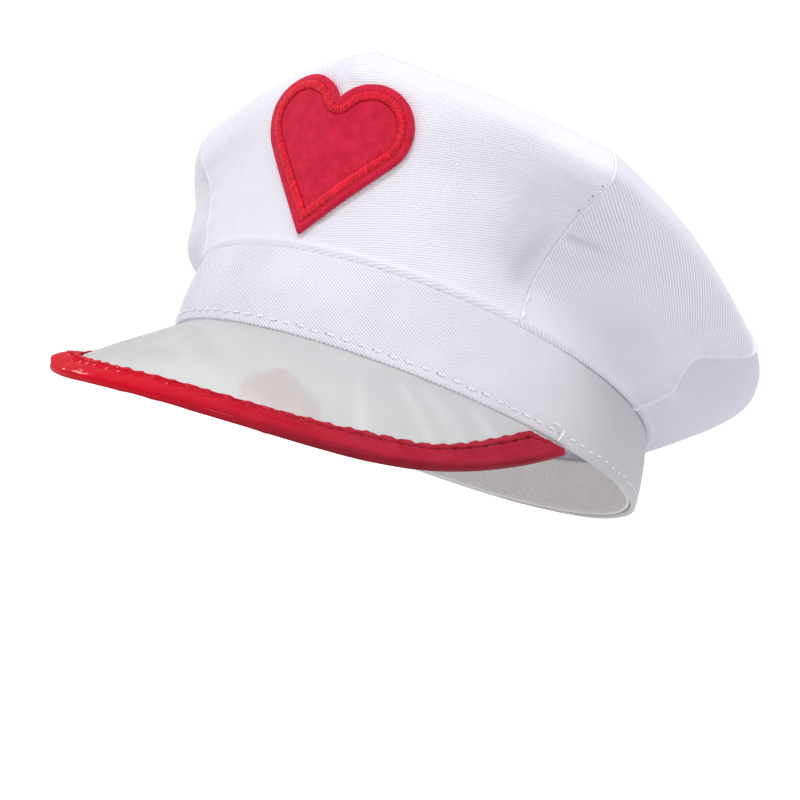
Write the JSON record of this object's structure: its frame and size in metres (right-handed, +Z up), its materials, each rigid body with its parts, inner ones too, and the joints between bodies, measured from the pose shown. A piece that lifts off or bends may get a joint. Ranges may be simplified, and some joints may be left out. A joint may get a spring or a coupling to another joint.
{
  "type": "nurse costume cap with clear visor",
  "caption": "Soft peaked costume cap: eight-panel white twill crown over a stiff band, clear visor with red vinyl binding, red felt heart patch in front.",
  "frame": {"origin": "on the table, under the middle of the cap's box", "axes": "+Z up from the table, -Y the way the visor points, +X towards the wearer's left"},
  "size_m": [0.2266, 0.2902, 0.1386],
  "materials": {
    "crown_twill": "white polyester twill, soft sheen",
    "band_twill": "white polyester twill over a stiffener, topstitched",
    "lining_twill": "white twill facing, matt",
    "clear_vinyl": "clear flexible vinyl sheet, glossy",
    "red_vinyl": "soft red vinyl tape, glossy, sewn",
    "red_felt": "red felt",
    "red_thread": "red satin stitch"
  },
  "bodies": {
    "root": {"crown_panel_1": "crown_twill", "crown_panel_2": "crown_twill", "crown_panel_3": "crown_twill", "crown_panel_4": "crown_twill", "crown_panel_5": "crown_twill", "crown_panel_6": "crown_twill", "crown_panel_7": "crown_twill", "crown_panel_8": "crown_twill", "band": "band_twill", "sweatband": "lining_twill", "visor": "clear_vinyl", "visor_binding": "red_vinyl", "emblem_patch": "red_felt", "emblem_border": "red_thread"}
  },
  "joints": []
}
